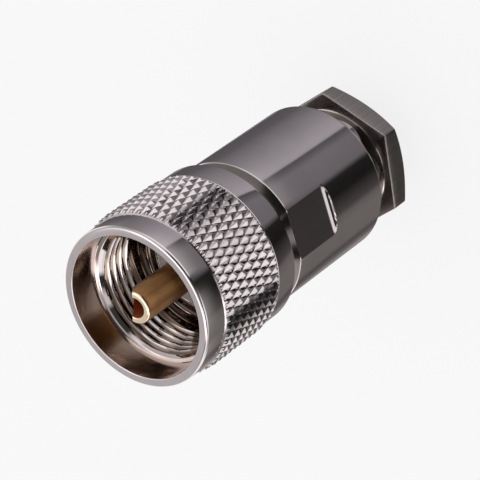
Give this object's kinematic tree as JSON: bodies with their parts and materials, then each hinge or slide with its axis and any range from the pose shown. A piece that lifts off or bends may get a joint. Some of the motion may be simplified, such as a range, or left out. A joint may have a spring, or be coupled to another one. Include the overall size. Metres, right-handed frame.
{
  "type": "uhf coaxial plug",
  "caption": "Cable plug of the clamp type for coaxial cable: knurled coupling nut with an internal thread, gold centre pin, round body with wrench flats and a hexagonal clamp nut.",
  "frame": {"origin": "on the plug's axis at the rear face of the clamp nut, on which the plug stands", "axes": "+Z along the axis from the cable end to the mating end; the wrench flats face 25.6 degrees from -Y towards -X, and the opposite way"},
  "size_m": [0.02, 0.02, 0.0415],
  "materials": {
    "nut_nickel": "bright nickel plate",
    "body_nickel": "bright nickel plate, turned",
    "clamp_nickel": "nickel plate, brushed flats",
    "inner_nickel": "nickel plate",
    "pin_gold": "gold plate",
    "spring_bronze": "plain phosphor bronze",
    "ptfe": "matte white PTFE",
    "gasket_rubber": "matte black rubber"
  },
  "bodies": {
    "plug": {"plug_body": "body_nickel", "front_insulator": "ptfe", "rear_insulator": "ptfe", "centre_pin": "pin_gold", "braid_clamp": "inner_nickel", "cable_gasket": "gasket_rubber"},
    "ring": {"retaining_ring": "spring_bronze"},
    "coupling": {"coupling_nut": "nut_nickel"},
    "washer": {"clamp_washer": "inner_nickel"},
    "clamp": {"clamp_nut": "clamp_nickel"}
  },
  "joints": [
    {"name": "nut_float", "type": "slide", "parent": "plug", "child": "ring", "axis": [0, 0, -1], "range_m": [0, 0.00115]},
    {"name": "nut_spin", "type": "hinge", "parent": "ring", "child": "coupling", "pos_m": [0, 0, 0.03335], "axis": [0, 0, 1], "continuous": true},
    {"name": "clamp_travel", "type": "slide", "parent": "plug", "child": "washer", "axis": [0, 0, -1], "range_m": [0, 0.005]},
    {"name": "clamp_turn", "type": "hinge", "parent": "washer", "child": "clamp", "pos_m": [0, 0, 0.006], "axis": [0, 0, -1], "range_deg": [0, 1800]}
  ],
  "couplings": [
    {"joint": "clamp_travel", "follows": "clamp_turn", "m_per_rad": 0.00015915}
  ]
}
